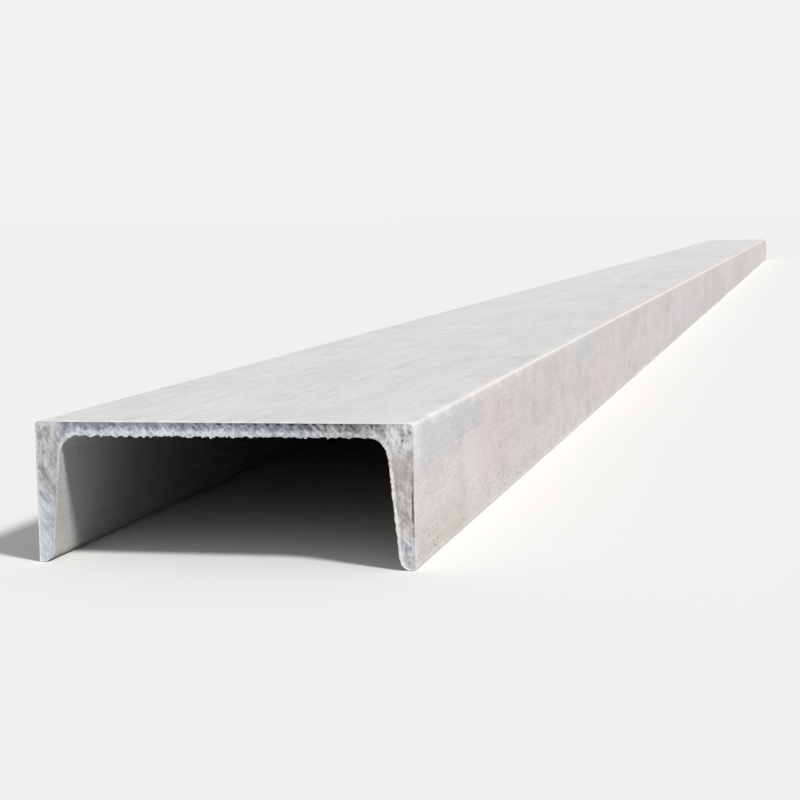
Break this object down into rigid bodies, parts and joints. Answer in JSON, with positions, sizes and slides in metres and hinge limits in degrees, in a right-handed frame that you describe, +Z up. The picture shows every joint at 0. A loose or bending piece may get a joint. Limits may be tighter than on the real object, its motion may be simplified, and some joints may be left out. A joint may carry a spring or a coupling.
{
  "type": "steel channel",
  "caption": "Hot-rolled steel channel with tapered flanges, a length of stock with sawn ends, for frames, beams and brackets.",
  "frame": {"origin": "middle of the length and of the web's depth, on the level that the flange toes rest on", "axes": "+X across the web's depth, +Y along the stock, +Z up from the toes to the back of the web"},
  "size_m": [0.2, 6, 0.073],
  "materials": {
    "mill_steel": "matte"
  },
  "bodies": {
    "root": {"channel": "mill_steel"}
  },
  "joints": []
}
